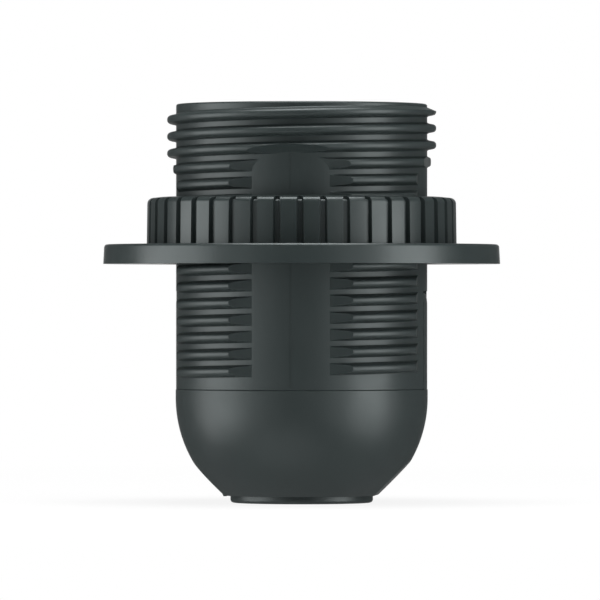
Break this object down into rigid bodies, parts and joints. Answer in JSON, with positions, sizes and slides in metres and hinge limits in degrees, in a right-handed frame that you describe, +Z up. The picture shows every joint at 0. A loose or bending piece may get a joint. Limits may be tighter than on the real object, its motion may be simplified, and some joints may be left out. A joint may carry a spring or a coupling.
{
  "type": "lamp holder",
  "caption": "Black plastic E27 lamp holder: part-threaded skirt with a knurled shade ring, domed cap with an M10x1 entry, and a contact block with sprung contacts inside.",
  "frame": {"origin": "centre of the collar's face at the bottom of the cap", "axes": "+Z up the axis from the cable entry to the lamp mouth; the latch arms and terminals lie along X, the neutral side at +X"},
  "size_m": [0.0588, 0.0588, 0.059],
  "materials": {
    "black_thermoplastic": "satin moulded",
    "white_thermoset": "semi-matt moulded",
    "brass": "machined",
    "spring_bronze": "rolled strip",
    "zinc_plated_steel": "bright zinc plated"
  },
  "bodies": {
    "cap": {"dome_cap": "black_thermoplastic", "contact_block": "white_thermoset", "neutral_terminal": "brass", "live_terminal": "brass", "side_contact_rivet": "brass", "centre_contact_rivet": "brass"},
    "shell": {"outer_shell": "black_thermoplastic"},
    "ring": {"shade_ring": "black_thermoplastic"},
    "centre_leaf": {"centre_contact": "spring_bronze"},
    "side_leaf": {"side_contact": "spring_bronze"},
    "live_screw": {"live_terminal_screw": "zinc_plated_steel"},
    "neutral_screw": {"neutral_terminal_screw": "zinc_plated_steel"},
    "lock_screw": {"nipple_lock_screw": "zinc_plated_steel"}
  },
  "joints": [
    {"name": "shell_release", "type": "slide", "parent": "cap", "child": "shell", "axis": [0, 0, 1], "range_m": [0, 0.02]},
    {"name": "ring_travel", "type": "slide", "parent": "shell", "child": "ring", "axis": [0, 0, 1], "range_m": [-0.015, 0.02]},
    {"name": "centre_contact_press", "type": "hinge", "parent": "cap", "child": "centre_leaf", "pos_m": [-0.0085, 0, 0.0271], "axis": [0, 1, 0], "range_deg": [0, 7], "stiffness_Nm_per_rad": 0.2},
    {"name": "side_contact_press", "type": "hinge", "parent": "cap", "child": "side_leaf", "pos_m": [0.0085, 0, 0.0271], "axis": [0, 1, 0], "range_deg": [0, 5], "stiffness_Nm_per_rad": 0.15},
    {"name": "live_screw_clamp", "type": "slide", "parent": "cap", "child": "live_screw", "axis": [1, 0, 0], "range_m": [0, 0.0024]},
    {"name": "neutral_screw_clamp", "type": "slide", "parent": "cap", "child": "neutral_screw", "axis": [-1, 0, 0], "range_m": [0, 0.0024]},
    {"name": "lock_screw_clamp", "type": "slide", "parent": "cap", "child": "lock_screw", "axis": [0, -1, 0], "range_m": [0, 0.0008]}
  ]
}
